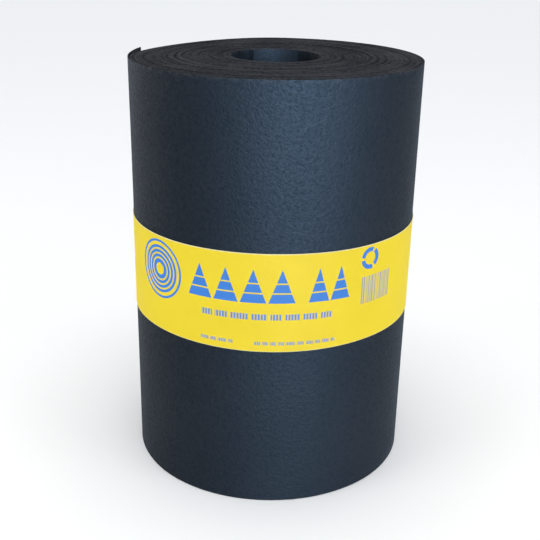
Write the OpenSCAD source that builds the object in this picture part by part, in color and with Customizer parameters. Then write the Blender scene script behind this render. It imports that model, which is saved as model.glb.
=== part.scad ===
// A roll of roofing felt, standing on one end. It is one long sheet of saturated felt, wound on
// itself with no core, and held shut by a printed paper band round its middle.
//
// The frame: +Z is up, along the bore. The origin is on the bore's axis, in the plane of the end
// that the roll stands on. Seen from above, the sheet winds outwards clockwise. Its outer end
// makes a step one turn deep down the side of the roll, and its inner end stands a little way
// off the wall of the bore.

/* [Roll] */
// Width of the felt sheet, which is the height of the standing roll
felt_width = 457; // [350:1:1000]
// Diameter over the outermost turn
roll_d = 315; // [240:1:420]
// Diameter of the clear bore down the middle
bore_d = 95; // [60:1:150]
// Thickness of the felt sheet
felt_t = 1.4; // [0.9:0.1:2.4]
// Air between one turn and the next
turn_gap = 0.2; // [0.1:0.05:0.5]
// Softening of the sheet's cut edges, where the turns show on the two ends
edge_soft = 0.25; // [0.1:0.05:0.3]
// Depth of the line between two turns on the ends
line_depth = 0.8; // [0.3:0.1:2]

/* [Outer end of the sheet] */
// Direction of the outer end, counted from +X
outer_angle = 164; // [0:1:359]
// How far the axis of the sprung top corner has leaned out at the top of the roll
corner_lean = 8; // [6:1:20]
// Where the corner starts to lift, as a share of the height from the band to the top
corner_start = 0.25; // [0.15:0.05:0.4]

/* [Inner end of the sheet] */
// Direction of the inner end, counted from +X
inner_angle = 123; // [0:1:359]
// How far the inner end stands off the turn behind it
inner_spring = 4; // [1:0.5:8]
// Angle over which the wall runs back to round, past the inner end
inner_sweep = 70; // [50:5:80]

/* [Paper band] */
// Height of the band
band_h = 106; // [60:1:150]
// How far the band's middle lies above the middle of the roll
band_rise = 6.5; // [-20:0.5:20]
// Thickness of the paper
band_t = 0.25; // [0.2:0.05:0.6]
// Play between the band and the felt
band_play = 0.2; // [0.1:0.05:0.4]
// Length by which the paper laps over its own end, where it is glued
band_overlap = 45; // [20:5:80]
// Direction of the glued overlap, counted from +X
overlap_angle = 75; // [0:1:359]

/* [Hidden] */
$fn = 180;

roll_r = roll_d / 2;
bore_r = bore_d / 2;
pitch = felt_t + turn_gap;
turns = floor((roll_r - bore_r) / pitch);
far = 2 * roll_d; // past everything, for cutting

// The outline of the roll is a spiral of two half circles, centred a quarter pitch to either
// side of the axis, which leave a step of one pitch at the outer end.
spiral_shift = pitch / 4;
outer_half_r = roll_r - pitch / 4;
inner_half_r = roll_r - 3 * pitch / 4;

band_z = (felt_width - band_h) / 2 + band_rise;
// The band slopes down over the step at the outer end, and lands this far past it
slope_angle = 5;
overlap_sweep = band_overlap / roll_r * 180 / PI;

// The sprung corner is part of a leaning tube. It leans in a direction that lies lean_ahead
// short of the outer end, and stays within corner_sweep of it.
lean_ahead = 50;
corner_sweep = 45;
corner_h = (1 - corner_start) * (felt_width - band_h - band_z);
corner_z = felt_width - corner_h;
lean = atan(corner_lean / corner_h);
corner_r = roll_r - 1.5 * (1 - cos(lean)) * roll_r;

// The wall behind the inner end bulges away from the bore as part of a smaller circle, centred on
// the inner end's direction, which crosses the bore's circle inner_sweep from it.
wall_x = bore_r + felt_t + inner_spring;
bulge_x = (wall_x ^ 2 - bore_r ^ 2) / 2 / (wall_x - bore_r * cos(inner_sweep));

// The half of the plane above the X axis, or below it
module half_plane(above) {
    translate([-far, above ? 0 : -far]) square([2 * far, far]);
}

// The part of a circle above the X axis, or below it
module half_circle(r, centre, above) {
    intersection() {
        translate(centre) circle(r);
        half_plane(above);
    }
}

// A wedge of the plane, from one direction to another less than 90 degrees on
module wedge(from, to) {
    polygon([[0, 0], far * [cos(from), sin(from)], far * [cos(to), sin(to)]]);
}

// The outline of the roll, grown by a margin, with the outer end on the X axis
module roll_outline(grow = 0) {
    half_circle(outer_half_r + grow, [spiral_shift, 0], above = true);
    half_circle(inner_half_r + grow, [-spiral_shift, 0], above = false);
}

// The same outline with the step filled in by a short slope, as paper lies over it
module draped_outline(grow) {
    landing_r = inner_half_r + grow - band_play / 4; // a hair inside, so that the slope cuts in
    roll_outline(grow);
    polygon([
        [0, 0],
        [roll_r + grow, 0],
        [landing_r * cos(slope_angle) - spiral_shift, -landing_r * sin(slope_angle)]
    ]);
}

// The clear bore, and the bulge behind the inner end, with the end of the sheet left standing in it
module bore_outline() {
    circle(bore_r);
    difference() {
        translate([bulge_x, 0]) circle(wall_x - bulge_x);
        half_circle(bore_r + felt_t, [0, 0], above = false);
    }
}

// The lines between the turns, as rings cut into the end at z = 0
module turn_lines() {
    half_w = turn_gap / 2 + edge_soft;
    rotate_extrude()
        for (k = [1 : turns - 1], r = roll_r - k * pitch)
            polygon([[r - 2 * half_w, -line_depth], [r + 2 * half_w, -line_depth], [r, line_depth]]);
}

// A tube's solid that stands beside the roll's axis at corner_z and leans out above it
module leaning(r) {
    translate([0, 0, corner_z])
        rotate(-lean_ahead)
            rotate([0, lean, 0])
                translate([0, 0, -corner_h])
                    cylinder(r = r, h = 3 * corner_h);
}

// The prism that the sprung corner lies in, from one direction to another
module corner_prism(from, to) {
    translate([0, 0, corner_z]) linear_extrude(corner_h) wedge(from, to);
}

// The sprung corner with the roll below it still filled in
module corner_solid() {
    difference() {
        intersection() {
            corner_prism(0, corner_sweep);
            leaning(corner_r);
        }
        translate([0, 0, corner_z - 1]) cylinder(r = roll_r - 4 * pitch, h = corner_h + 2);
    }
}

// The air between the sprung corner and the turn below it
module corner_air() {
    difference() {
        intersection() {
            corner_prism(-slope_angle, corner_sweep);
            leaning(corner_r - felt_t);
        }
        translate([0, 0, corner_z - 1])
            cylinder(r = roll_r - pitch + turn_gap / 2, h = corner_h + 2);
    }
}

module felt_roll() {
    color("#2b3440")
        difference() {
            rotate(outer_angle)
                difference() {
                    union() {
                        linear_extrude(felt_width) roll_outline();
                        corner_solid();
                    }
                    corner_air();
                }
            rotate(inner_angle)
                translate([0, 0, -1]) linear_extrude(felt_width + 2) bore_outline();
            turn_lines();
            translate([0, 0, felt_width]) mirror([0, 0, 1]) turn_lines();
        }
}

// The skin of paper between two margins round the roll
module paper_ring(inner, outer) {
    rotate(outer_angle)
        difference() {
            linear_extrude(band_h) draped_outline(outer);
            translate([0, 0, -1]) linear_extrude(band_h + 2) draped_outline(inner);
        }
}

module paper_band() {
    color("#f2db41")
        translate([0, 0, band_z]) {
            paper_ring(band_play, band_play + band_t);
            intersection() {
                paper_ring(band_play + band_t / 2, band_play + 2 * band_t);
                linear_extrude(band_h) wedge(overlap_angle, overlap_angle + overlap_sweep);
            }
        }
}

felt_roll();
paper_band();
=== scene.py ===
"""A roll of roofing felt, standing on one end and held shut by a printed paper band.

The felt is one long sheet, saturated and wound on itself with no core. Its cut edge shows on both
ends as a spiral. The outer end of the sheet makes a step down the side, and its top corner has
sprung away from the roll. The inner end stands off the wall of the bore.
"""

from __future__ import annotations

import logging
import math
from collections.abc import Iterator
from contextlib import contextmanager
from dataclasses import dataclass, replace
from enum import Enum
from functools import reduce

import bpy
import numpy as np
from mathutils import Matrix, Vector

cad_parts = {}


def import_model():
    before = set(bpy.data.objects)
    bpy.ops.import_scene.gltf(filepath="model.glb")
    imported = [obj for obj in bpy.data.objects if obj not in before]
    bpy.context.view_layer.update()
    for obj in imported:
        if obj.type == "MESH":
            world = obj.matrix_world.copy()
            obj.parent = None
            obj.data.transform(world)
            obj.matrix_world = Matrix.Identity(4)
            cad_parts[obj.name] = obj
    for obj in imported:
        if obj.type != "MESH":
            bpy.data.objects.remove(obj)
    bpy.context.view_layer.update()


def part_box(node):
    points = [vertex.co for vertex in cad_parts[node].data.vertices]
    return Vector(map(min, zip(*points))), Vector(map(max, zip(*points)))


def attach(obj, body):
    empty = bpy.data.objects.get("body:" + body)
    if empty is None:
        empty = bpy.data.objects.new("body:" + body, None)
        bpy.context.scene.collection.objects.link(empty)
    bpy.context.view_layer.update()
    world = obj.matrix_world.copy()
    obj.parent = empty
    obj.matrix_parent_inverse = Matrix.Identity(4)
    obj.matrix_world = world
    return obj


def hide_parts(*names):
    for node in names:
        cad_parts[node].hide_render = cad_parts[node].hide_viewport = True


log = logging.getLogger("felt_roll_scene")

MM = 0.001
QUARTER_TURN = math.pi / 2
HALF_TURN = math.pi
FULL_TURN = 2 * math.pi
SHARP_FROM = math.radians(40)
BAKE_MAP = "OFBake"
STRIP_MAP = "strip"

Colour = tuple[float, float, float]
Spot = tuple[float, float, float]
Lines = tuple[tuple[float, float], ...]


class End(Enum):
    """The two ends of the standing roll."""

    TOP = 1
    BASE = -1


class Glow(Enum):
    """What a studio light does: everything, only the shine, or only the surface's own colour."""

    ALL = "all"
    SHINE = "shine"
    BODY = "body"


# ----------------------------------------
# Hand tools
# ----------------------------------------


def deselect_all() -> None:
    """Leaves no object selected."""
    bpy.ops.object.select_all(action="DESELECT")


def pick(*objects: bpy.types.Object) -> None:
    """Selects only these objects, the first of them active.

    Args:
        objects: what to select.
    """
    deselect_all()
    for piece in objects:
        piece.select_set(True)
    bpy.context.view_layer.objects.active = objects[0]


@contextmanager
def editing(piece: bpy.types.Object) -> Iterator[None]:
    """Opens edit mode on one piece, and closes it again.

    Args:
        piece: the mesh object to edit.
    """
    pick(piece)
    bpy.ops.object.mode_set(mode="EDIT")
    bpy.ops.mesh.select_mode(type="VERT")
    try:
        yield
    finally:
        bpy.ops.object.mode_set(mode="OBJECT")


def read(things: bpy.types.bpy_prop_collection, name: str, kind: type,
         width: int = 1) -> np.ndarray:
    """Reads one value of each vertex, edge, face or face corner of a mesh.

    Args:
        things: the vertices, edges, faces or face corners.
        name: the value's name.
        kind: the type of its numbers.
        width: how many numbers it has.

    Returns:
        One number for each of them, or one row of numbers.
    """
    values = np.empty(len(things) * width, kind)
    things.foreach_get(name, values)
    return values.reshape(-1, width) if width > 1 else values


def corners_of(piece: bpy.types.Object) -> np.ndarray:
    """The places of a piece's vertices.

    Args:
        piece: a mesh object.

    Returns:
        One row of x, y and z for each vertex, in metres.
    """
    return read(piece.data.vertices, "co", np.float32, 3).astype(float)


def place_corners(piece: bpy.types.Object, places: np.ndarray) -> None:
    """Moves a piece's vertices.

    Args:
        piece: a mesh object.
        places: one row of x, y and z for each vertex, in metres.
    """
    piece.data.vertices.foreach_set("co", places.astype(np.float32).ravel())
    piece.data.update()


def face_corners(piece: bpy.types.Object) -> tuple[np.ndarray, np.ndarray]:
    """Lists the corners of a piece's faces, in the order that its flat maps keep.

    Args:
        piece: a mesh object.

    Returns:
        The vertex that each corner lies on, and the face that it belongs to.
    """
    counts = read(piece.data.polygons, "loop_total", np.int32)
    face = np.repeat(np.arange(len(counts)), counts)
    return read(piece.data.loops, "vertex_index", np.int32), face


def store(piece: bpy.types.Object, name: str, values: np.ndarray) -> None:
    """Keeps a number for each vertex, for the materials to read.

    Args:
        piece: a mesh object.
        name: the attribute's name.
        values: one number for each vertex.
    """
    kept = piece.data.attributes.new(name, "FLOAT", "POINT")
    kept.data.foreach_set("value", values.astype(np.float32))


def unwrap(piece: bpy.types.Object, name: str, u: np.ndarray, v: np.ndarray) -> None:
    """Gives a piece a flat map of its faces.

    Args:
        piece: a mesh object.
        name: the map's name.
        u: how far right each face corner lies on the map.
        v: how far up each face corner lies on the map.
    """
    layer = piece.data.uv_layers.get(name) or piece.data.uv_layers.new(name=name)
    layer.data.foreach_set("uv", np.column_stack((u, v)).astype(np.float32).ravel())


def select_corners(piece: bpy.types.Object, chosen: np.ndarray) -> None:
    """Selects some vertices of a piece and the edges between them, in object mode.

    Args:
        piece: a mesh object.
        chosen: True for each vertex to select.
    """
    mesh = piece.data
    ends = read(mesh.edges, "vertices", np.int32, 2)
    mesh.vertices.foreach_set("select", chosen)
    mesh.edges.foreach_set("select", chosen[ends].all(1))
    mesh.polygons.foreach_set("select", np.zeros(len(mesh.polygons), bool))


def select_rims(piece: bpy.types.Object, chosen: np.ndarray) -> None:
    """Selects, in object mode, the free edges whose two vertices are both chosen.

    Args:
        piece: a mesh object with open rims.
        chosen: True for each vertex that may be selected.
    """
    select_corners(piece, chosen)
    mesh = piece.data
    faces = np.bincount(read(mesh.loops, "edge_index", np.int32), minlength=len(mesh.edges))
    mesh.edges.foreach_set("select", read(mesh.edges, "select", bool) & (faces == 1))


def face_outwards(piece: bpy.types.Object) -> None:
    """Turns all faces of a closed piece outwards.

    Args:
        piece: a closed mesh object.
    """
    with editing(piece):
        bpy.ops.mesh.select_all(action="SELECT")
        bpy.ops.mesh.normals_make_consistent(inside=False)


def smooth_shade(piece: bpy.types.Object) -> None:
    """Shades a piece smoothly, apart from its sharp edges."""
    pick(piece)
    bpy.ops.object.shade_smooth_by_angle(angle=SHARP_FROM)


def lone_corner(place: Vector) -> bpy.types.Object:
    """Starts a new mesh as one vertex, and leaves it open in edit mode.

    Args:
        place: where the vertex is.

    Returns:
        The new object, whose origin is the roll's own.
    """
    deselect_all()
    bpy.ops.mesh.primitive_plane_add(size=MM, location=(0, 0, 0))
    piece = bpy.context.object
    bpy.ops.object.mode_set(mode="EDIT")
    bpy.ops.mesh.select_mode(type="VERT")
    bpy.ops.mesh.select_all(action="SELECT")
    bpy.ops.mesh.merge(type="CENTER")
    bpy.ops.transform.translate(value=place)
    return piece


def draw_on(step: Vector) -> None:
    """Draws an edge from the selected vertex to a new one, in edit mode.

    Args:
        step: the way from the one to the other.
    """
    bpy.ops.mesh.extrude_vertices_move(TRANSFORM_OT_translate={"value": step})


def join(pieces: list[bpy.types.Object], name: str) -> bpy.types.Object:
    """Joins meshes into one.

    Args:
        pieces: the meshes, of which the first one stays.
        name: what the joined piece is called.

    Returns:
        The joined piece.
    """
    pick(*pieces)
    bpy.ops.object.join()
    pieces[0].name = name
    pieces[0].data.name = name
    return pieces[0]


def weld(piece: bpy.types.Object, within: float, chosen: np.ndarray | None = None) -> None:
    """Merges vertices that lie close together.

    Args:
        piece: a mesh object.
        within: how close, in metres.
        chosen: True for each vertex that may be merged, or None for all of them.
    """
    if chosen is None:
        chosen = np.ones(len(piece.data.vertices), bool)
    select_corners(piece, chosen)
    with editing(piece):
        bpy.ops.mesh.remove_doubles(threshold=within)


def heading(angle: float) -> Vector:
    """The level direction at an angle from +X, in radians."""
    return Vector((math.cos(angle), math.sin(angle), 0))


def smooth_step(share: np.ndarray) -> np.ndarray:
    """Rises smoothly from 0 to 1 as its argument does, and stays level outside."""
    share = np.clip(share, 0, 1)
    return share * share * (3 - 2 * share)


def swelling(angle: np.ndarray, middle: float, reach: float) -> np.ndarray:
    """A smooth swelling round one direction.

    Args:
        angle: directions from +X.
        middle: the direction in which it is fullest.
        reach: how far to either side it has run out.

    Returns:
        1 in its middle, down to 0 from its reach on.
    """
    aside = (angle - middle + HALF_TURN) % FULL_TURN - HALF_TURN
    return np.cos(QUARTER_TURN * np.clip(aside / reach, -1, 1)) ** 2


@dataclass(frozen=True)
class Unevenness:
    """A smooth random curve, such as the ups and downs along a sheet's edge."""

    seed: int
    spacing: float
    reach: float
    knots: int = 4096

    def __call__(self, along: np.ndarray) -> np.ndarray:
        """The curve's height at each place along it.

        Args:
            along: places along the curve, in the same unit as the spacing.

        Returns:
            Heights from minus the reach to plus the reach.
        """
        place = along / self.spacing
        first = np.floor(place).astype(int)
        share = smooth_step(place - first)
        knots = np.random.default_rng(self.seed).uniform(-1, 1, self.knots)
        before, after = knots[first % self.knots], knots[(first + 1) % self.knots]
        return self.reach * (before * (1 - share) + after * share)

    def at_end(self, end: End) -> Unevenness:
        """A curve of the same kind for one end of the roll."""
        return replace(self, seed=self.seed + end.value)


@dataclass(frozen=True)
class Patch:
    """A part of a flat map: its lower left corner, and how much of the map a metre takes."""

    left: float
    foot: float
    wide: float
    tall: float

    def lay(self, right: np.ndarray, up: np.ndarray) -> tuple[np.ndarray, np.ndarray]:
        """The places on the map of points that lie this far right and up, in metres."""
        return self.left + self.wide * right, self.foot + self.tall * up


# ----------------------------------------
# The felt
# ----------------------------------------


@dataclass(frozen=True)
class Wound:
    """Where points of the roll lie, one value of each kind for each point.

    The turns are those made since the inner end, and across is the share of a turn's thickness
    from the middle of the sheet. The level, radius and angle are the roll's own.
    """

    turns: np.ndarray
    across: np.ndarray
    level: np.ndarray
    radius: np.ndarray
    angle: np.ndarray


@dataclass
class FeltRoll:
    """One sheet of saturated felt, wound on itself. Sizes are in metres and angles in radians."""

    height: float
    roll_r: float = 157.5 * MM
    bore_r: float = 47.5 * MM
    outer_end: float = math.radians(164)
    inner_end: float = math.radians(123)
    half_turns: int = 135
    steps: int = 60
    rings: int = 32

    # The sheet's cut edge, whose two faces meet the next turn's in a groove
    groove_depth: float = 1.0 * MM
    edge_round: float = 0.12 * MM
    edge_share: float = 0.12
    leaf_gap: float = 0.15 * MM
    join_within: float = 0.01 * MM

    # The sprung top corner, and the rest of the outer end above and below the band
    corner_lift: float = 1.6 * MM
    corner_reach: float = math.radians(42)
    corner_start: float = 330 * MM
    end_lift: float = 0.8 * MM
    end_reach: float = math.radians(11)
    end_loose: float = 0.55
    held_half: float = 65 * MM
    freed_over: float = 90 * MM
    wavy: Unevenness = Unevenness(seed=41, spacing=70 * MM, reach=0.45)
    ragged: Unevenness = Unevenness(seed=43, spacing=38 * MM, reach=1.1 * MM)

    # The slump of the top behind the outer end
    slump: float = 3.0 * MM
    slump_depth: float = 2.2 * MM
    slump_from: float = 0.5
    slump_full: float = 0.95
    slump_at: float = math.radians(148)
    slump_reach: float = math.radians(62)

    # The turns pushed out by the inner end
    inner_spring: float = 4.0 * MM
    inner_sweep: float = math.radians(68)
    spring_from: float = 1.2
    spring_turns: float = 14
    # Painted light: the paler, bluish lit patch on the inner end's leaf, where the bore's far wall
    # catches the light
    painted_light_turns: float = 0.168
    painted_light_fade: float = 0.012

    # The unevenness of the turns on the two ends
    crown_share: float = 0.2
    groove_share: float = 0.45
    rim_turns: float = 0.996
    levels: tuple[Unevenness, ...] = (
        Unevenness(seed=11, spacing=0.37, reach=0.14 * MM),
        Unevenness(seed=31, spacing=1.3, reach=0.40 * MM),
    )
    crowns: Unevenness = Unevenness(seed=5, spacing=0.21, reach=0.13 * MM)
    looseness: Unevenness = Unevenness(seed=8, spacing=0.45, reach=2.2)
    loose_from: float = 0.6
    loose_pinch: float = 0.1
    groove_sink: float = 0.2 * MM
    loose_sink: float = 1.6 * MM
    top_rise: float = 0.5 * MM

    # How its faces are told apart, by their place across the sheet, and looked up for the map
    face_across: float = 0.49
    cut_across: float = 0.4
    look_inside: float = 0.98

    @property
    def first_sweep(self) -> float:
        """The angle of the first arc, from the inner end to the line through the two centres."""
        return self.inner_end - self.outer_end + HALF_TURN

    @property
    def pitch(self) -> float:
        """The distance from one turn of the sheet to the next."""
        cells = self.half_turns / 2 + 1.25 + math.cos(self.outer_end - self.inner_end) / 4
        return (self.roll_r - self.bore_r) / cells

    @property
    def turns(self) -> float:
        """How often the sheet goes round."""
        return self.half_turns / 2 + self.first_sweep / FULL_TURN

    @property
    def middle_r(self) -> float:
        """The radius half way between the bore and the outside."""
        return (self.roll_r + self.bore_r) / 2

    def centre(self, arc: int) -> Vector:
        """The centre that an arc of the winding turns about.

        Args:
            arc: the arc's number, counted from the inner end.

        Returns:
            A point a quarter pitch from the axis, to one side or the other.
        """
        side = 1 if arc % 2 else -1
        return side * self.pitch / 4 * heading(self.outer_end)

    def arc_r(self, arc: int) -> float:
        """The radius of the middle of the sheet on an arc, about the arc's own centre."""
        return self.roll_r - 3 * self.pitch / 4 - (self.half_turns - arc) * self.pitch / 2

    def wound_arc(self, arc: int) -> bpy.types.Object:
        """Models the sheet's cut edge along one arc, by drawing its profile and spinning it.

        Args:
            arc: the arc's number, counted from the inner end.

        Returns:
            The arc at the top end of the roll.
        """
        half = self.pitch / 2
        inner = -half + (self.leaf_gap if arc == self.half_turns else 0)
        outer = half - (self.leaf_gap if arc == 0 else 0)
        shoulder = half - self.edge_share * self.pitch
        begin = self.outer_end + (HALF_TURN if arc % 2 else 0)
        sweep, steps = HALF_TURN, self.steps
        if arc == 0:
            begin, sweep = self.inner_end, self.first_sweep
            steps = round(self.steps * sweep / HALF_TURN)
        out = heading(begin)
        profile = [
            (inner, -self.groove_depth),
            (-shoulder, -self.edge_round),
            (0, 0),
            (shoulder, -self.edge_round),
            (outer, -self.groove_depth),
        ]
        spots = [
            self.centre(arc) + (self.arc_r(arc) + across) * out + Vector((0, 0, self.height + up))
            for across, up in profile
        ]
        piece = lone_corner(spots[0])
        for here, there in zip(spots, spots[1:]):
            draw_on(there - here)
        bpy.ops.mesh.select_all(action="SELECT")
        bpy.ops.mesh.spin(steps=steps, angle=sweep, center=self.centre(arc), axis=(0, 0, 1))
        bpy.ops.object.mode_set(mode="OBJECT")
        return piece

    def end_face(self) -> bpy.types.Object:
        """Models the top end: the cut edge of the sheet, all along its spiral.

        Returns:
            An open surface whose outer and inner rims are still free.
        """
        arcs = [self.wound_arc(arc) for arc in range(self.half_turns + 1)]
        body = join(arcs[1:-1], "felt_roll")
        weld(body, self.join_within)
        whole = join([body, arcs[0], arcs[-1]], "felt_roll")
        places = corners_of(whole)
        off_line = places @ np.array(heading(self.outer_end + QUARTER_TURN))
        far_side = places @ np.array(heading(self.outer_end)) < 0
        seam = (np.abs(off_line) < self.join_within) & far_side
        weld(whole, 1.2 * self.leaf_gap, seam)
        return whole

    def raise_wall(self, roll: bpy.types.Object, outside: bool) -> None:
        """Joins the two ends' free rims with a wall.

        Args:
            roll: the two ends, joined.
            outside: True for the wall round the outside, False for the one round the bore.
        """
        with editing(roll):
            bpy.ops.mesh.select_all(action="DESELECT")
            bpy.ops.mesh.select_non_manifold(extend=False, use_multi_face=False)
        chosen = read(roll.data.vertices, "select", bool)
        radius = np.hypot(*corners_of(roll)[:, :2].T)
        select_rims(roll, chosen & ((radius > self.middle_r) == outside))
        with editing(roll):
            bpy.ops.mesh.bridge_edge_loops(number_cuts=self.rings - 1, interpolation="LINEAR")

    def winding(self, places: np.ndarray) -> Wound:
        """Finds how far along the winding each point lies.

        Args:
            places: one row of x, y and z for each point of the perfectly wound roll.

        Returns:
            The points' places on the winding.
        """
        angle = np.arctan2(places[:, 1], places[:, 0])
        past = (self.outer_end - angle) % FULL_TURN
        odd = past > HALF_TURN
        out = np.array(heading(self.outer_end)[:2])
        centres = np.where(odd, 1, -1)[:, None] * self.pitch / 4 * out
        arc_radius = np.hypot(*(places[:, :2] - centres).T)
        cell = (arc_radius - self.arc_r(0)) / self.pitch - odd / 2
        whole = np.round(cell - 1e-3)
        made = whole + (past - HALF_TURN + self.first_sweep) / FULL_TURN
        short = made < -1e-6
        return Wound(made + short, cell - (whole + short), places[:, 2].copy(),
                     np.hypot(places[:, 0], places[:, 1]), angle)

    def near_end(self, at: Wound, reach: float) -> np.ndarray:
        """How near the sheet's outer end places lie.

        Args:
            at: the places.
            reach: how far back from the end to count, as an angle.

        Returns:
            1 at the end, down to 0 from the reach on.
        """
        return smooth_step(1 - (self.turns - at.turns) * FULL_TURN / reach)

    def near_top(self, at: Wound) -> np.ndarray:
        """How near the top places lie: 1 at the top, down to 0 where the corner starts to lift."""
        return smooth_step((at.level - self.corner_start) / (self.height - self.corner_start))

    def sway(self, angle: np.ndarray, level: np.ndarray) -> np.ndarray:
        """How far the roll is out of round, outwards, on or near its side.

        Args:
            angle: directions from +X.
            level: heights above the base.

        Returns:
            A radial distance for each place.
        """
        oval = 0.35 * np.cos(2 * angle - 1.1) + 0.2 * np.cos(3 * angle + 0.6)
        slope = 0.25 * np.sin(angle + 2.0) * (level / self.height - 0.5)
        dents = 0.10 * np.sin(7 * angle + 9 * level) * np.sin(5 * angle - 17 * level)
        return MM * (oval + slope + dents)

    def sprung_out(self, at: Wound) -> np.ndarray:
        """How far the sheet's outer end stands off, above and below the band that holds it.

        Args:
            at: the places.

        Returns:
            A radial distance for each place.
        """
        free = smooth_step((np.abs(at.level - self.height / 2) - self.held_half) / self.freed_over)
        end = self.near_end(at, self.end_reach) * free * (self.end_loose + self.wavy(at.level))
        corner = self.near_end(at, self.corner_reach) * self.near_top(at)
        return self.corner_lift * corner + self.end_lift * end

    def slumped(self, at: Wound) -> np.ndarray:
        """How much of the slump beside the outer end each place shares.

        Args:
            at: the places.

        Returns:
            1 in the slump's middle at the roll's side, down to 0 outside the slump.
        """
        outwards = at.radius / self.roll_r - self.slump_from
        share = smooth_step(outwards / (self.slump_full - self.slump_from))
        return share * swelling(at.angle, self.slump_at, self.slump_reach)

    def sprung_in(self, at: Wound) -> np.ndarray:
        """How far the inner turns bulge outwards behind the sheet's inner end.

        Args:
            at: the places.

        Returns:
            A radial distance for each place.
        """
        bulge = swelling(at.angle, self.inner_end, self.inner_sweep)
        behind = at.turns > 1 - self.inner_sweep / FULL_TURN
        fading = 1 - smooth_step((at.turns - self.spring_from) / self.spring_turns)
        return self.inner_spring * bulge * behind * fading

    def shift_outwards(self, places: np.ndarray, at: Wound, on_end: np.ndarray,
                       loose: np.ndarray) -> None:
        """Moves the turns outwards and inwards, and makes the outer end's edge ragged.

        Args:
            places: one row of x, y and z for each vertex, which is changed.
            at: the vertices' places on the winding.
            on_end: True on the two ends of the roll.
            loose: how loosely the turn is wound there, from 0 to 1.
        """
        slump = self.slumped(at) * (1 - self.near_end(at, self.corner_reach))
        off_middle = np.abs(at.across)
        move = self.sprung_out(at) - self.slump_depth * slump * self.near_top(at)
        move += self.sprung_in(at) + self.sway(at.angle, at.level) * at.radius / self.roll_r
        move += self.crowns(at.turns) * on_end * (off_middle < self.groove_share)
        on_shoulder = (off_middle > self.crown_share) & (off_middle < self.groove_share)
        move -= np.sign(at.across) * self.loose_pinch * self.pitch * loose * on_shoulder
        places[:, :2] *= (1 + move / at.radius)[:, None]

        at_edge = (np.abs(self.turns - at.turns) < 1e-3) & (at.radius > 0.9 * self.roll_r)
        turned = self.ragged(at.level) / self.roll_r * at_edge
        cos, sin = np.cos(turned), np.sin(turned)
        x, y = places[:, 0].copy(), places[:, 1].copy()
        places[:, 0], places[:, 1] = x * cos - y * sin, x * sin + y * cos

    def settle(self, roll: bpy.types.Object) -> None:
        """Moves the turns out of their perfect spiral, as a real roll's lie.

        Args:
            roll: the closed roll, still perfectly wound.
        """
        places = corners_of(roll)
        at = self.winding(places)
        on_end = np.minimum(at.level, self.height - at.level) < 2 * self.groove_depth
        loose = on_end * smooth_step(self.looseness(at.turns) - self.loose_from)
        self.shift_outwards(places, at, on_end, loose)

        outer_rim = (at.across > self.groove_share) & (at.turns > self.turns - self.rim_turns)
        rim = outer_rim | (at.across < -self.groove_share) & (at.turns < self.rim_turns)
        in_groove = on_end * (np.abs(at.across) > self.groove_share) * ~rim
        for end in End:
            sunk = sum(curve.at_end(end)(at.turns) + curve.reach for curve in self.levels)
            sunk += in_groove * (self.groove_sink + self.loose_sink * loose)
            sunk -= rim * (self.groove_depth - 2 * self.edge_round)
            if end is End.TOP:
                slump = self.slumped(at) * (1 - self.near_end(at, self.corner_reach))
                sunk += self.slump * slump - self.top_rise
            on_side = (at.level > self.height / 2) == (end is End.TOP)
            places[:, 2] -= end.value * sunk * on_end * on_side
        place_corners(roll, places)
        # Where painted shade falls: the grooves between turns, deeper where a turn is loose
        store(roll, "groove", in_groove * (0.5 + 0.5 * loose))
        store(roll, "turn", at.turns)
        # Painted light on the inner end's leaf, up to this share of a turn from the inner end
        store(roll, "painted_leaf_light", 1 - smooth_step((at.turns - self.painted_light_turns) / self.painted_light_fade))

    def lay_out(self, roll: bpy.types.Object) -> None:
        """Unrolls the faces onto a flat map, and tells cut edges from the sheet's own faces.

        The map shows the wall round the outside lowest, with the bore's wall and the two ends
        above it. Faces that are hidden between turns are laid small at its top.

        Args:
            roll: the closed roll of four-cornered faces, still perfectly wound.
        """
        places = corners_of(roll)
        corner, face = face_corners(roll)
        quads = places[corner.reshape(-1, 4)]
        middle = quads.mean(1)
        wall = np.ptp(quads[:, :, 2], axis=1) > 3 * self.groove_depth
        whole = self.winding(middle)
        # Corners are looked up a little inside their face, so that they fall on its own turn
        seen = middle[face] + self.look_inside * (places[corner] - middle[face])
        at = self.winding(seen)
        went = at.turns + np.round(whole.turns[face] - at.turns)
        outer = (whole.radius > self.middle_r)[face]
        out_face = whole.across > 0
        last = (whole.turns > self.turns - 1) & (out_face | (whole.turns > self.turns - 1e-4))
        first = (whole.turns < 1) & (~out_face | (whole.turns < 1e-4))
        outward, shown = out_face[face], np.where(outer, last[face], first[face])

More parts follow.
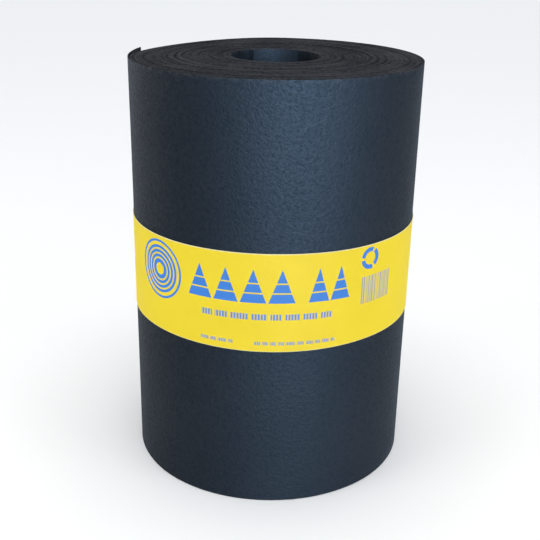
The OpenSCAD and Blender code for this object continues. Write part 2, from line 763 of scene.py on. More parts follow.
        along = np.where(outer, self.roll_r * (went - self.turns + 1), self.bore_r * went)
        over_end = np.where(outer, 0.5 - at.across, -0.5 - at.across) * self.pitch
        along = FULL_TURN * along + over_end * (np.abs(at.across) < self.face_across) * shown
        top = (middle[:, 2] > self.height / 2)[face]
        walls = wall[face]
        ends_foot = 0.48 + 1.02 * self.roll_r
        parts = (
            (walls & shown & outer, Patch(0.005, 0.01, 0.985, 1.0), along, at.level),
            (walls & shown & ~outer, Patch(0.01, 0.48, 0.985, 1.0), along, at.level),
            (walls & ~shown & outer & outward, Patch(0.86, 0.81, 0.25, 0.28), along, at.level),
            (walls & ~shown & outer & ~outward, Patch(0.72, 0.81, 0.25, 0.28), along, at.level),
            (walls & ~shown & ~outer & outward, Patch(0.42, 0.81, 0.25, 0.28), along, at.level),
            (walls & ~shown & ~outer & ~outward, Patch(0.54, 0.81, 0.25, 0.28), along, at.level),
            (~walls & top, Patch(0.50, ends_foot, 0.98, 0.98), seen[:, 0], seen[:, 1]),
            (~walls & ~top, Patch(0.83, ends_foot, 0.98, 0.98), seen[:, 0], seen[:, 1]),
        )
        u, v = np.zeros(len(corner)), np.zeros(len(corner))
        for part, patch, right, up in parts:
            u[part], v[part] = patch.lay(right[part], up[part])
        unwrap(roll, BAKE_MAP, u, v)
        self.mark_cut_faces(roll, ~wall | (np.abs(whole.across) < self.cut_across))

    def mark_cut_faces(self, roll: bpy.types.Object, cut: np.ndarray) -> None:
        """Gives the cut edges the second finish of the roll.

        Args:
            roll: the roll.
            cut: True for each face that shows a cut edge of the sheet.
        """
        roll.data.materials.append(None)
        roll.data.materials.append(None)
        roll.data.polygons.foreach_set("material_index", cut.astype(np.int32))

    def build(self) -> bpy.types.Object:
        """Models the whole roll as one closed mesh.

        Returns:
            The roll, not yet dressed.
        """
        top = self.end_face()
        pick(top)
        bpy.ops.object.duplicate()
        base = bpy.context.object
        with editing(base):
            bpy.ops.mesh.select_all(action="SELECT")
            bpy.ops.transform.resize(value=(1, 1, -1), center_override=(0, 0, self.height / 2))
        roll = join([top, base], "felt_roll")
        for outside in (True, False):
            self.raise_wall(roll, outside)
        face_outwards(roll)
        self.lay_out(roll)
        self.settle(roll)
        smooth_shade(roll)
        roll.name = "wound_felt"
        return roll

    def dress(self, roll: bpy.types.Object) -> None:
        """Gives the sheet's faces and its cut edges their finishes.

        Args:
            roll: the closed roll.
        """
        roll.data.materials[0] = SaturatedFelt().make(self.height)
        roll.data.materials[1] = CutEdge().make()


# ----------------------------------------
# Finishes
# ----------------------------------------


class Field:
    """A number that varies over a surface, held as a node's output, that arithmetic works on."""

    def __init__(self, dressing: Dressing, socket: bpy.types.NodeSocket) -> None:
        """Holds a socket.

        Args:
            dressing: the material under construction.
            socket: the output that gives the number.
        """
        self.dressing = dressing
        self.socket = socket

    def math(self, operation: str, *others: Field | float) -> Field:
        """Puts a Math node after this number.

        Args:
            operation: the Math node's operation.
            others: its further inputs.

        Returns:
            The result.
        """
        node = self.dressing.add("Math")
        node.operation = operation
        self.dressing.feed(node, dict(enumerate((self, *others))))
        return Field(self.dressing, node.outputs[0])

    def __add__(self, other: Field | float) -> Field:
        """The sum with another number."""
        return self.math("ADD", other)

    def __sub__(self, other: Field | float) -> Field:
        """The difference from another number."""
        return self.math("SUBTRACT", other)

    def __mul__(self, other: Field | float) -> Field:
        """The product with another number."""
        return self.math("MULTIPLY", other)

    def __neg__(self) -> Field:
        """The number with its sign changed."""
        return self.math("MULTIPLY", -1.0)

    def __abs__(self) -> Field:
        """The number without its sign."""
        return self.math("ABSOLUTE")

    def least(self, other: Field | float) -> Field:
        """The smaller of two numbers."""
        return self.math("MINIMUM", other)

    def most(self, other: Field | float) -> Field:
        """The larger of two numbers."""
        return self.math("MAXIMUM", other)

    def spread(self, low: float, high: float, start: float = 0.0, end: float = 1.0) -> Field:
        """Maps a range of the number onto another one, and stays level outside.

        Args:
            low: where the range begins.
            high: where it ends.
            start: the result at its beginning.
            end: the result at its end.

        Returns:
            The mapped number.
        """
        node = self.dressing.add("MapRange", {
            "Value": self, "From Min": low, "From Max": high, "To Min": start, "To Max": end,
        })
        return Field(self.dressing, node.outputs["Result"])


# What an input takes: another node's output, or a number or colour
Filling = Field | bpy.types.NodeSocket | float | Colour


class Dressing:
    """A material under construction."""

    def __init__(self, name: str) -> None:
        """Starts a material.

        Args:
            name: the material's name.
        """
        self.material = bpy.data.materials.new(name)
        self.material.use_nodes = True
        self.tree = self.material.node_tree
        self.shader = self.tree.nodes["Principled BSDF"]

    def fill(self, socket: bpy.types.NodeSocket, filling: Filling) -> None:
        """Links an input to what fills it, or sets it where that is a plain number or colour.

        Args:
            socket: the input.
            filling: what fills it.
        """
        if isinstance(filling, Field):
            filling = filling.socket
        if isinstance(filling, bpy.types.NodeSocket):
            self.tree.links.new(filling, socket)
        elif socket.type == "RGBA":
            socket.default_value = (*filling, 1)
        else:
            socket.default_value = filling

    def feed(self, node: bpy.types.Node, fillings: dict[str | int, Filling]) -> None:
        """Fills inputs of a node.

        Args:
            node: the node.
            fillings: what fills each of them, by its name or its place.
        """
        for name, filling in fillings.items():
            self.fill(node.inputs[name], filling)

    def add(self, kind: str, fillings: dict[str | int, Filling] | None = None) -> bpy.types.Node:
        """Adds a node.

        Args:
            kind: the node's type.
            fillings: what fills its inputs, where it can be filled straight away.

        Returns:
            The node.
        """
        node = self.tree.nodes.new("ShaderNode" + kind)
        self.feed(node, fillings or {})
        return node

    def finish(self, fillings: dict[str | int, Filling]) -> bpy.types.Material:
        """Fills inputs of the shader, and gives the finished material."""
        self.feed(self.shader, fillings)
        return self.material

    def place(self) -> bpy.types.NodeSocket:
        """The place on the object, in metres."""
        return self.add("TexCoord").outputs["Object"]

    def parts(self, spot: bpy.types.NodeSocket) -> tuple[Field, ...]:
        """The three numbers of a place."""
        node = self.add("SeparateXYZ", {0: spot})
        return tuple(Field(self, node.outputs[axis]) for axis in "XYZ")

    def level(self) -> Field:
        """The height above the base, in metres."""
        return self.parts(self.place())[2]

    def flat_place(self, name: str) -> tuple[Field, Field]:
        """The place on one of the piece's flat maps.

        Args:
            name: the map's name.

        Returns:
            How far right and how far up.
        """
        chart = self.add("UVMap")
        chart.uv_map = name
        right, up, _ = self.parts(chart.outputs["UV"])
        return right, up

    def kept(self, name: str) -> Field:
        """A number that is kept for each vertex.

        Args:
            name: the attribute's name.

        Returns:
            The number.
        """
        node = self.add("Attribute")
        node.attribute_name = name
        return Field(self, node.outputs["Fac"])

    def grain(self, size: float, detail: float = 2.0, rough: float = 0.5) -> Field:
        """A cloudy pattern through the object.

        Args:
            size: how wide a cloud is, in metres.
            detail: how many finer layers it has.
            rough: how strong each finer layer is.

        Returns:
            A number about 0.5.
        """
        node = self.add("TexNoise", {
            "Vector": self.place(), "Scale": 0.5 / size, "Detail": detail, "Roughness": rough,
        })
        return Field(self, node.outputs["Fac"])

    def pebbles(self, size: float) -> Field:
        """Rounded bumps of uneven shape through the object, as on pressed felt.

        Args:
            size: how wide a bump is, in metres.

        Returns:
            0 in the middle of a bump, and about 0.6 between bumps.
        """
        place = self.place()
        shove = self.add("TexNoise", {"Vector": place, "Scale": 0.8 / size, "Detail": 1.5})
        shoved = self.add("VectorMath")
        shoved.operation = "MULTIPLY_ADD"
        self.feed(shoved, {0: shove.outputs["Color"], 1: (0.9 * size,) * 3, 2: place})
        node = self.add("TexVoronoi")
        node.feature = "SMOOTH_F1"
        self.feed(node, {
            "Vector": shoved.outputs[0], "Scale": 1 / size, "Smoothness": 0.5, "Randomness": 1.0,
        })
        return Field(self, node.outputs["Distance"])

    def waves(self, along: Field, length: float, detail: float = 1.0) -> Field:
        """An uneven wave along one number.

        Args:
            along: the number.
            length: how long a wave is, in the number's unit.
            detail: how many finer layers it has.

        Returns:
            A number about 0.5.
        """
        node = self.add("TexNoise")
        node.noise_dimensions = "1D"
        self.feed(node, {"W": along * (1 / length), "Scale": 1.0, "Detail": detail})
        return Field(self, node.outputs["Fac"])

    def over(self, share: Field, below: Filling, above: Colour) -> bpy.types.NodeSocket:
        """Lays a colour over another colour, or over what is there already.

        Args:
            share: how much of the upper colour shows.
            below: the lower colour, or the output that gives what is there already.
            above: the upper colour.

        Returns:
            The colour that results.
        """
        node = self.add("Mix")
        node.data_type = "RGBA"
        lower, upper = (socket for socket in node.inputs if socket.type == "RGBA")
        for socket, filling in ((node.inputs["Factor"], share), (lower, below), (upper, above)):
            self.fill(socket, filling)
        return next(out for out in node.outputs if out.type == "RGBA")

    def relief(self, *layers: tuple[Field, float]) -> bpy.types.NodeSocket:
        """Raises and sinks the surface.

        Args:
            layers: heights from 0 to 1, each with the height in metres that 1 stands for.

        Returns:
            What the shader takes as its normal.
        """
        total = reduce(Field.__add__, (field * (height / MM) for field, height in layers))
        bump = self.add("Bump", {"Strength": 1.0, "Distance": MM, "Height": total})
        return bump.outputs["Normal"]


@dataclass(frozen=True)
class SaturatedFelt:
    """The sheet's own face: dark pressed fibres in bitumen, pebbled, with a dull bluish shine, and
    painted light on the inner end's leaf in the bore.
    """

    dark: Colour = (0.0016, 0.0017, 0.0019)
    pale: Colour = (0.0120, 0.0126, 0.0140)
    # Painted light: the lit far wall of the bore, on the inner end's leaf
    painted_leaf_light: Colour = (0.0200, 0.0260, 0.0330)
    torn: Colour = (0.0250, 0.0240, 0.0250)
    shine: Colour = (0.36, 0.62, 1.0)
    bloom: Colour = (0.20, 0.55, 1.0)
    pebble: float = 3.0 * MM
    blotch: float = 2.0 * MM
    fibre: float = 0.8 * MM
    nick: float = 3.0 * MM
    cloud: float = 45 * MM
    nicked_from: float = 4.5 * MM
    nicked_to: float = 0.8 * MM

    def make(self, height: float) -> bpy.types.Material:
        """Builds the material.

        Args:
            height: the height of the roll, whose top edge is nicked.

        Returns:
            The material.
        """
        dressing = Dressing("saturated felt")
        blotches = dressing.grain(self.blotch, detail=3, rough=0.66)
        pits = dressing.pebbles(self.pebble).spread(0.0, 0.55)
        clouds = dressing.grain(self.cloud, detail=3)
        fibres = dressing.grain(self.fibre, detail=2, rough=0.6)
        tone = pits * 0.12 + blotches * 0.46 + fibres * 0.22 + clouds * 0.18
        colour = dressing.over(tone.spread(0.38, 0.62), self.dark, self.pale)
        # Painted light: the bore's lit far wall, laid over the inner end's leaf
        colour = dressing.over(dressing.kept("painted_leaf_light") * 0.8, colour, self.painted_leaf_light)
        nicks = dressing.grain(self.nick, detail=2.5).spread(0.46, 0.60)
        rim = dressing.level().spread(height - self.nicked_from, height - self.nicked_to)
        colour = dressing.over(nicks * rim, colour, self.torn)
        dull = (pits * 0.2 + blotches * 0.5 + fibres * 0.3).spread(0.34, 0.68, 0.74, 0.59)
        relief = dressing.relief((pits, 0.14 * MM), (blotches, 0.50 * MM), (fibres, 0.20 * MM))
        return dressing.finish({
            "Base Color": colour,
            "Roughness": dull,
            "Normal": relief,
            "Specular IOR Level": 0.12,
            "Specular Tint": self.shine,
            "Sheen Weight": 0.029,
            "Sheen Roughness": 0.4,
            "Sheen Tint": self.bloom,
        })


@dataclass(frozen=True)
class CutEdge:
    """The sheet's cut edge on the two ends: matt, torn fibres, warmer and paler than its face, with
    painted shade in the grooves between turns.
    """

    dark: Colour = (0.0038, 0.0046, 0.0068)
    pale: Colour = (0.0500, 0.0495, 0.0545)
    # Painted shade in the grooves between turns
    groove_shade: Colour = (0.0012, 0.0012, 0.0015)
    haze: Colour = (0.65, 0.82, 1.0)
    tuft: float = 2.0 * MM
    cloud: float = 26 * MM
    turns_alike: float = 2.6

    def make(self) -> bpy.types.Material:
        """Builds the material.

        Returns:
            The material.
        """
        dressing = Dressing("cut felt edge")
        tufts = dressing.grain(self.tuft, detail=3, rough=0.6)
        clouds = dressing.grain(self.cloud, detail=2.5)
        bands = dressing.waves(dressing.kept("turn"), self.turns_alike, 2.0)
        tone = tufts * 0.38 + clouds * 0.27 + bands * 0.35
        colour = dressing.over(tone.spread(0.38, 0.62), self.dark, self.pale)
        # Painted shade: the grooves between turns darkened, more where the winding is loose
        shaded_groove = dressing.kept("groove").spread(0.25, 0.9)
        colour = dressing.over(shaded_groove, colour, self.groove_shade)
        return dressing.finish({
            "Base Color": colour,
            "Roughness": tufts.spread(0.3, 0.7, 0.95, 0.75),
            "Normal": dressing.relief((tufts, 0.9 * MM)),
            "Specular IOR Level": 0.05,
            "Specular Tint": self.haze,
        })


@dataclass(frozen=True)
class Strip:
    """The flat paper strip that the print is drawn on.

    Places on it are metres along the strip from the front and metres above the roll's base. Its
    methods take millimetres.
    """

    along: Field
    up: Field
    bleed: float

    def wrapped(self, repeat: float) -> Strip:
        """The same strip, on which what is drawn repeats along it.

        Args:
            repeat: the length after which it repeats, in millimetres.

        Returns:
            The strip to draw on.
        """
        again = self.along.math("WRAP", repeat / 2 * MM, -repeat / 2 * MM)
        return Strip(again, self.up, self.bleed)

    def upright_stripe(self, left: float, right: float) -> Field:
        """The distance in metres inside an upright stripe, negative outside it."""
        return -abs(self.along - (left + right) / 2 * MM) + (right - left) / 2 * MM

    def level_stripe(self, low: float, high: float) -> Field:
        """The distance in metres inside a level stripe, negative outside it."""
        return -abs(self.up - (low + high) / 2 * MM) + (high - low) / 2 * MM

    def away(self, middle: tuple[float, float]) -> Field:
        """The distance in metres from a point of the strip."""
        aside, above = self.along - middle[0] * MM, self.up - middle[1] * MM
        return (aside * aside + above * above).math("SQRT")

    def inked(self, inside: Field, strength: float = 1.0) -> Field:
        """Turns a distance inside a shape's edge into how much ink lies there.

        Args:
            inside: the distance inside the edge in metres, negative outside.
            strength: how full the ink is.

        Returns:
            The ink's share, 0 to 1.
        """
        return inside.spread(-self.bleed / 2, self.bleed / 2, 0.0, strength)


@dataclass(frozen=True)
class Gables:
    """A bold row of plain gables, four and two, each cut by two thin courses. In millimetres."""

    foot: float = 235.5
    ridge: float = 271.5
    spans: Lines = ((-89, -62), (-60, -34), (-32, -5), (-3, 24.5), (38, 60), (61.5, 83.5))
    courses: tuple[float, ...] = (246.0, 256.5)
    course_half: float = 0.75

    def draw(self, strip: Strip) -> Field:
        """Draws the gables.

        Args:
            strip: what to draw on.

        Returns:
            The ink's share, 0 to 1.
        """
        shapes = []
        for left, right in self.spans:
            middle, half = (left + right) / 2, (right - left) / 2
            slope = (self.ridge - self.foot) / half
            drop = 1 / math.hypot(1, slope)
            rise = -abs(strip.along - middle * MM) * slope + (-strip.up + self.ridge * MM)
            gable = (rise * drop).least(strip.up - self.foot * MM)
            for course in self.courses:
                gable = gable.least(abs(strip.up - course * MM) - self.course_half * MM)
            shapes.append(strip.inked(gable))
        return reduce(Field.most, shapes)


@dataclass(frozen=True)
class TickRow:
    """A row of small ticks in place of text, in spans of uneven length. In millimetres."""

    start: float
    stop: float
    foot: float
    top: float
    shortest: float
    longest: float
    gap: float
    tick: float
    strength: float
    seed: int
    fill: float = 0.36

    def draw(self, strip: Strip) -> Field:
        """Draws the row.

        Args:
            strip: what to draw on.

        Returns:
            The ink's share, 0 to 1.
        """
        rng = np.random.default_rng(self.seed)
        left, spans = self.start, []
        while left < self.stop - self.shortest:
            right = min(left + float(rng.uniform(self.shortest, self.longest)), self.stop)
            spans.append(strip.upright_stripe(left, right))
            left = right + self.gap
        ticks = -abs(strip.wrapped(self.tick).along) + self.fill * self.tick * MM
        row = reduce(Field.most, spans).least(strip.level_stripe(self.foot, self.top))
        return strip.inked(row.least(ticks), self.strength)


@dataclass(frozen=True)
class RollMark:
    """A roll seen from its end: rings round an open bore, in a thin outer ring. In millimetres."""

    middle: tuple[float, float] = (-131, 251)
    disc: float = 26
    bore: float = 6.5
    rings: tuple[float, ...] = (12.0, 17.0, 22.0)
    ring_half: float = 0.9
    outer: float = 31
    outer_half: float = 1.3

    def draw(self, strip: Strip) -> Field:
        """Draws the mark.

        Args:
            strip: what to draw on.

        Returns:
            The ink's share, 0 to 1.
        """
        reach = strip.away(self.middle)
        disc = (-reach + self.disc * MM).least(reach - self.bore * MM)
        for radius in self.rings:
            disc = disc.least(abs(reach - radius * MM) - self.ring_half * MM)
        edge = -abs(reach - self.outer * MM) + self.outer_half * MM
        return strip.inked(disc.most(edge))


@dataclass(frozen=True)
class ArcRing:
    """A small ring in three equal arcs. In millimetres."""

    middle: tuple[float, float] = (109, 273)
    radius: float = 9.6
    half: float = 2.4
    arc_half: float = 8.6

    def draw(self, strip: Strip) -> Field:
        """Draws the ring.

        Args:
            strip: what to draw on.

        Returns:
            The ink's share, 0 to 1.
        """
        band = -abs(strip.away(self.middle) - self.radius * MM) + self.half * MM
        above = strip.up - self.middle[1] * MM
        turned = above.math("ARCTAN2", strip.along - self.middle[0] * MM)
        third = abs(turned.math("WRAP", HALF_TURN / 3, -HALF_TURN / 3))
        return strip.inked(band.least(-third * (self.radius * MM) + self.arc_half * MM))


@dataclass(frozen=True)
class Bars:
    """A block of upright bars of uneven width, in thinner ink. In millimetres."""

    start: float = 99
    stop: float = 141
    foot: float = 223.5
    top: float = 253.5
    widths: tuple[float, ...] = (0.7, 1.1, 1.6, 2.2)
    gaps: tuple[float, ...] = (0.8, 1.2, 1.9)
    strength: float = 0.62
    seed: int = 12

    def draw(self, strip: Strip) -> Field:
        """Draws the bars.

        Args:
            strip: what to draw on.

        Returns:
            The ink's share, 0 to 1.
        """
        rng = np.random.default_rng(self.seed)
        left, bars = self.start, []
        while left < self.stop:
            wide = float(rng.choice(self.widths))
            bars.append(strip.upright_stripe(left, left + wide))
            left += wide + float(rng.choice(self.gaps))
        block = reduce(Field.most, bars).least(strip.level_stripe(self.foot, self.top))
        return strip.inked(block, self.strength)


@dataclass(frozen=True)
class PrintedPaper:
    """Bright yellow band paper, with plain marks printed in one blue ink."""

    paper: Colour = (0.800, 0.622, 0.034)
    faded: Colour = (0.760, 0.588, 0.031)
    # Partly the bare, unprinted paper at the edges, partly a painted highlight of the lit cut edge
    bare_and_lit_edge: Colour = (0.800, 0.735, 0.430)
    ink: Colour = (0.052, 0.208, 0.620)
    bleed: float = 0.35 * MM
    repeat: float = 345 * MM
    fibre: float = 0.9 * MM
    cloud: float = 26 * MM
    crumple: float = 9 * MM
    raggedness: float = 0.5 * MM
    foot_trim: float = 0.4 * MM
    ticks: tuple[TickRow, ...] = (
        TickRow(-73.5, 68.5, 217.0, 223.5, 11, 20, gap=3.4, tick=3.1, strength=0.88, seed=3),
        TickRow(-74.5, -34, 189.3, 192.9, 4, 9, gap=2.2, tick=1.9, strength=0.80, seed=4),
        TickRow(-17, 68.5, 189.3, 192.9, 4, 9, gap=2.2, tick=1.9, strength=0.80, seed=6),
    )

    def make(self, foot: float, top: float) -> bpy.types.Material:
        """Builds the material.

        Args:
            foot: the height of the strip's lower edge.
            top: the height of its upper edge.

        Returns:
            The material.
        """
        dressing = Dressing("printed band paper")
        along, up = dressing.flat_place(STRIP_MAP)
        fibres = dressing.grain(self.fibre, detail=3)
        clouds = dressing.grain(self.cloud, detail=2)
        fading = (fibres * 0.4 + clouds * 0.6).spread(0.35, 0.7)
        colour = dressing.over(fading, self.paper, self.faded)
        ragged = (fibres - 0.5) * self.raggedness
        ink = self.marks(Strip(along + ragged, up + ragged, self.bleed))
        ink = ink * fibres.spread(0.2, 0.4, 0.94, 1.0)
        colour = dressing.over(ink, colour, self.ink)
        # The bare, unprinted paper along both edges, widened to stand in for the lit cut edge as
        # well: partly painted highlight
        margin = (up - (foot - self.foot_trim)).least(-up + top) + ragged
        cut = margin.spread(0.5 * MM, 1.1 * MM, 1.0, 0.0)
        colour = dressing.over(cut, colour, self.bare_and_lit_edge)
        crumples = dressing.grain(self.crumple, detail=2)
        return dressing.finish({
            "Base Color": colour,
            "Roughness": fibres.spread(0.3, 0.7, 0.62, 0.48),
            "Normal": dressing.relief((crumples, 0.5 * MM), (fibres, 0.04 * MM)),
            "Specular IOR Level": 0.04,
        })

    def marks(self, strip: Strip) -> Field:
        """Draws all the marks of the print, of which the gables and ticks repeat round the roll.

        Args:
            strip: what to draw on.

        Returns:
            The ink's share, 0 to 1.
        """
        again = strip.wrapped(self.repeat / MM)
        inks = [Gables().draw(again)]
        inks.extend(row.draw(again) for row in self.ticks)
        inks.extend(mark.draw(strip) for mark in (RollMark(), ArcRing(), Bars()))
        return reduce(Field.most, inks)


# ----------------------------------------
# The band
# ----------------------------------------


@dataclass
class PaperBand:
    """The printed paper strip that holds the roll shut. Sizes are in metres, angles in radians."""

    roll: FeltRoll
    foot: float
    top: float
    paper: float = 0.25 * MM
    play: float = 0.25 * MM
    lift: float = 0.45 * MM
    lift_play: float = 0.45
    lift_depth: float = 16 * MM
    overlap: float = 45 * MM
    overlap_climb: float = 14 * MM
    glue: float = 0.08 * MM
    flap_lift: float = 0.5 * MM
    flap_depth: float = 7 * MM
    outer_end: float = math.radians(75)
    step_slope: float = math.radians(5)
    front: float = math.radians(-90)
    steps: int = 480
    rows: int = 16
    slack: Unevenness = Unevenness(seed=71, spacing=0.075, reach=1.0)
    slack_apart: float = 7.31
    edge: Unevenness = Unevenness(seed=72, spacing=0.11, reach=0.35 * MM)
    map_margin: float = 0.006
    map_fill: float = 0.985
    map_gap: float = 3 * MM
    row_spare: float = 4 * MM
    hidden_wide: float = 0.33
    hidden_tall: float = 0.12

    @property
    def middle(self) -> float:
        """The height of the band's middle above the base."""
        return (self.foot + self.top) / 2

    @property
    def width(self) -> float:
        """The width of the paper strip."""
        return self.top - self.foot

    @property
    def length(self) -> float:
        """The length of the strip, its overlap included."""
        return FULL_TURN * self.roll.roll_r + self.overlap

    def felt_r(self, angle: np.ndarray) -> np.ndarray:
        """The radius of the felt below the paper, with the step at the sheet's end sloped over.

        Args:
            angle: directions from +X.

        Returns:
            The radius of the felt's outer face in each direction.
        """
        past = (angle - self.roll.outer_end) % FULL_TURN
        second = past > HALF_TURN
        swing = (1 - np.cos(past - second * HALF_TURN)) / 4
        spiral = self.roll.roll_r - self.roll.pitch * (swing + second / 2)
        share = np.clip((past - (FULL_TURN - self.step_slope)) / self.step_slope, 0, 1)
        return spiral + self.roll.pitch * share

    def flat_strip(self) -> bpy.types.Object:
        """Models the strip flat, and keeps its own measures as a flat map.

        Returns:
            The strip, with its length along X from the front and its height along Z.
        """
        deselect_all()
        bpy.ops.mesh.primitive_grid_add(x_subdivisions=self.steps, y_subdivisions=self.rows, size=1)
        strip = bpy.context.object
        strip.data.name = "paper_band"
        end = (self.outer_end - self.front - FULL_TURN) * self.roll.roll_r
        pivot = {"center_override": (0, 0, 0)}
        with editing(strip):
            bpy.ops.mesh.select_all(action="SELECT")
            bpy.ops.transform.rotate(value=-QUARTER_TURN, orient_axis="X", **pivot)
            bpy.ops.transform.resize(value=(self.length, 1, self.width), **pivot)
            bpy.ops.transform.translate(value=(end + self.length / 2, 0, self.middle))
        places = corners_of(strip)[face_corners(strip)[0]]
        unwrap(strip, STRIP_MAP, places[:, 0], places[:, 2])
        return strip

    def wrap(self, strip: bpy.types.Object) -> None:
        """Wraps the flat strip round the roll, over the step and over its own end.

        Args:
            strip: the flat strip.
        """
        places = corners_of(strip)
        along, level = places[:, 0], places[:, 2]
        angle = self.front + along / self.roll.roll_r
        from_end = along - along.min()
        near_edge = 1 - (self.width / 2 - np.abs(level - self.middle)) / self.lift_depth
        near_edge = np.clip(near_edge, 0, 1)
        upper = level > self.middle
        slack = np.where(upper, self.slack(along), self.slack(along + self.slack_apart))
        radius = self.felt_r(angle) + self.roll.sway(angle, level) + self.play
        radius += self.lift * near_edge**2 * (1 - self.lift_play + self.lift_play * slack)
        lapped = smooth_step(1 - (from_end - self.overlap) / self.overlap_climb)
        radius += (self.paper + self.glue) * lapped
        radius += self.flap_lift * smooth_step(1 - from_end / self.flap_depth)
        level = level + self.edge(along) * np.sign(level - self.middle) * near_edge
        spots = np.column_stack((radius * np.cos(angle), radius * np.sin(angle), level))
        place_corners(strip, spots)

    def thicken(self, band: bpy.types.Object) -> None:
        """Gives the wrapped strip the paper's thickness, outwards.

        Args:
            band: the wrapped strip.
        """
        pick(band)
        bpy.ops.object.modifier_add(type="SOLIDIFY")
        skin = band.modifiers[-1]
        skin.thickness = self.paper
        first = band.data.polygons[0]
        skin.offset = 1.0 if first.normal.dot(first.center) > 0 else -1.0
        bpy.ops.object.modifier_apply(modifier=skin.name)

    def lay_out(self, band: bpy.types.Object) -> None:
        """Lays the band's faces out for the map: a third of its length in each of three rows.

        The inner faces are laid small above them.

        Args:
            band: the finished band, still with its flat measures.
        """
        mesh = band.data
        along, up = read(mesh.uv_layers[STRIP_MAP].data, "uv", np.float32, 2).T.astype(float)
        normals = read(mesh.polygons, "normal", np.float32, 3)
        middles = read(mesh.polygons, "center", np.float32, 3)
        facing = (normals[:, :2] * middles[:, :2]).sum(1) / np.hypot(*middles[:, :2].T)
        _, face = face_corners(band)
        face_along = (np.bincount(face, along) / np.bincount(face))[face]
        row = self.length / 3
        number = np.clip(np.floor((face_along + row / 2) / row), -1, 1)
        scale = self.map_fill / (row + self.row_spare)
        up = up - self.foot
        row_foot = (number + 1) * (self.width + self.map_gap)
        right = (along - (number - 0.5) * row) * scale
        hidden = (facing < 0.5)[face]
        hidden_right = (along - along.min()) * self.hidden_wide * scale
        hidden_up = 3 * (self.width + self.map_gap) + up * self.hidden_tall
        u = self.map_margin + np.where(hidden, hidden_right, right)
        v = self.map_margin + np.where(hidden, hidden_up, row_foot + up) * scale
        unwrap(band, BAKE_MAP, u, v)

    def build(self) -> bpy.types.Object:
        """Models the strip, wrapped once round the roll and glued over its own end.

        Returns:
            The band, not yet dressed.
        """
        band = self.flat_strip()
        self.wrap(band)
        self.thicken(band)
        face_outwards(band)
        self.lay_out(band)
        smooth_shade(band)
        band.name = "printed_band"
        return band

    def dress(self, band: bpy.types.Object) -> None:
        """Gives the band its printed paper.

        Args:
            band: the finished band.
        """
        band.data.materials.append(PrintedPaper().make(self.foot, self.top))


# ----------------------------------------
# The studio
# ----------------------------------------


@dataclass(frozen=True)
class SoftBox:
    """A rectangular soft light. Its size is in metres, its power in watts, its turn in radians."""

    name: str
    place: Spot
    size: tuple[float, float]
    power: float
    glow: Glow = Glow.ALL
    turn: float = 0.0

    def stand(self, aim: Vector) -> None:
        """Stands the light up.

        Args:
            aim: the point that it faces.
        """
        deselect_all()
        bpy.ops.object.light_add(type="AREA", location=self.place)
        lamp = bpy.context.object
        lamp.name = self.name
        lamp.data.shape = "RECTANGLE"
        lamp.data.size, lamp.data.size_y = self.size
        lamp.data.energy = self.power
        lamp.visible_diffuse = self.glow is not Glow.SHINE
        lamp.visible_glossy = self.glow is not Glow.BODY
        facing = (aim - Vector(self.place)).to_track_quat("-Z", "Y").to_matrix()
        lamp.rotation_euler = (facing @ Matrix.Rotation(self.turn, 3, "Z")).to_euler()


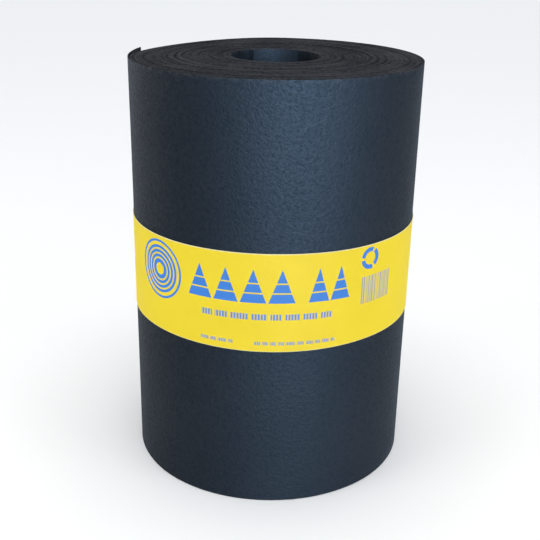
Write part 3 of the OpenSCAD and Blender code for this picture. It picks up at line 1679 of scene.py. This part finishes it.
@dataclass
class Studio:
    """The pale floor, the soft lights and the camera, whose way back and rise are in roll radii."""

    roll: FeltRoll
    floor_r: float = 14.0
    floor_grey: Colour = (0.86, 0.86, 0.86)
    sky: Colour = (0.86, 0.93, 1.0)
    sky_strength: float = 0.32
    ceiling_strength: float = 2.3
    ceiling_spread: float = math.radians(70)
    boxes: tuple[SoftBox, ...] = (
        SoftBox("fill", (0.5, -2.6, 1.7), (2.0, 1.4), 7),
        SoftBox("sheen", (0.70, -2.15, 0.78), (1.5, 1.5), 575, Glow.SHINE, math.radians(-22)),
        SoftBox("rim", (-2.0, 1.15, 1.0), (1.2, 1.2), 25, Glow.SHINE),
        SoftBox("left wash", (-1.9, -1.1, 0.9), (1.2, 1.2), 15, Glow.BODY),
        SoftBox("right wash", (1.9, -1.1, 0.9), (1.2, 1.2), 14, Glow.BODY),
    )
    camera_back: float = 6.151
    camera_rise: float = 0.854
    camera_down: float = math.radians(21.51)
    camera_roll: float = math.radians(1.13)
    camera_yaw: float = math.radians(0.14)
    sensor: float = 36.0
    lens: float = 59.2

    def floor(self) -> None:
        """Lays a wide pale floor under the roll."""
        deselect_all()
        bpy.ops.mesh.primitive_circle_add(vertices=128, radius=self.floor_r, fill_type="NGON")
        floor = bpy.context.object
        floor.name = "studio_floor"
        floor.data.materials.append(Dressing("pale floor").finish({
            "Base Color": self.floor_grey,
            "Roughness": 0.9,
            "Specular IOR Level": 0.1,
        }))

    def lights(self) -> None:
        """Sets the even light all round, and hangs the ceiling and the soft boxes."""
        world = bpy.data.worlds.new("studio")
        world.use_nodes = True
        around = world.node_tree.nodes["Background"].inputs
        around["Color"].default_value = (*self.sky, 1)
        around["Strength"].default_value = self.sky_strength
        bpy.context.scene.world = world
        self.ceiling()
        for box in self.boxes:
            box.stand(Vector((0, 0, self.roll.height / 2)))

    def ceiling(self) -> None:
        """Hangs a wide soft light straight above, which whitens the floor and the roll's top."""
        deselect_all()
        bpy.ops.object.light_add(type="SUN", location=(0, 0, 3))
        lamp = bpy.context.object
        lamp.name = "ceiling"
        lamp.data.energy = self.ceiling_strength
        lamp.data.angle = self.ceiling_spread

    def camera(self) -> None:
        """Sets the camera: in front of the roll, above its top, looking down."""
        radius, height = self.roll.roll_r, self.roll.height
        place = Vector((0, -self.camera_back * radius, height + self.camera_rise * radius))
        down, roll = self.camera_down, self.camera_roll
        swing = Matrix.Rotation(self.camera_yaw, 3, "Z")
        right = swing @ Vector((1, 0, 0))
        up = swing @ Vector((0, math.sin(down), math.cos(down)))
        ahead = swing @ Vector((0, math.cos(down), -math.sin(down)))
        axes = Matrix((
            right * math.cos(roll) + up * math.sin(roll),
            up * math.cos(roll) - right * math.sin(roll),
            -ahead,
        )).transposed()
        deselect_all()
        bpy.ops.object.camera_add(location=place, rotation=axes.to_euler())
        camera = bpy.context.object
        camera.data.sensor_width = self.sensor
        camera.data.lens = self.lens
        bpy.context.scene.camera = camera


def main() -> None:
    """Builds the roll and its band, the floor, the light and the camera."""
    logging.basicConfig(level=logging.INFO, format="%(message)s")
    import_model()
    low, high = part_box("felt_roll")
    roll = FeltRoll(height=high.z - low.z)
    felt = roll.build()
    roll.dress(felt)
    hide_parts("felt_roll")
    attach(felt, "root")
    log.info("%s: %d faces", felt.name, len(felt.data.polygons))

    low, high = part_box("paper_band")
    strip = PaperBand(roll, foot=low.z, top=high.z)
    band = strip.build()
    strip.dress(band)
    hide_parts("paper_band")
    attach(band, "root")
    log.info("%s: %d faces", band.name, len(band.data.polygons))

    studio = Studio(roll)
    studio.floor()
    studio.lights()
    studio.camera()
    bpy.context.scene.view_settings.view_transform = "Standard"


if __name__ == "__main__":
    main()
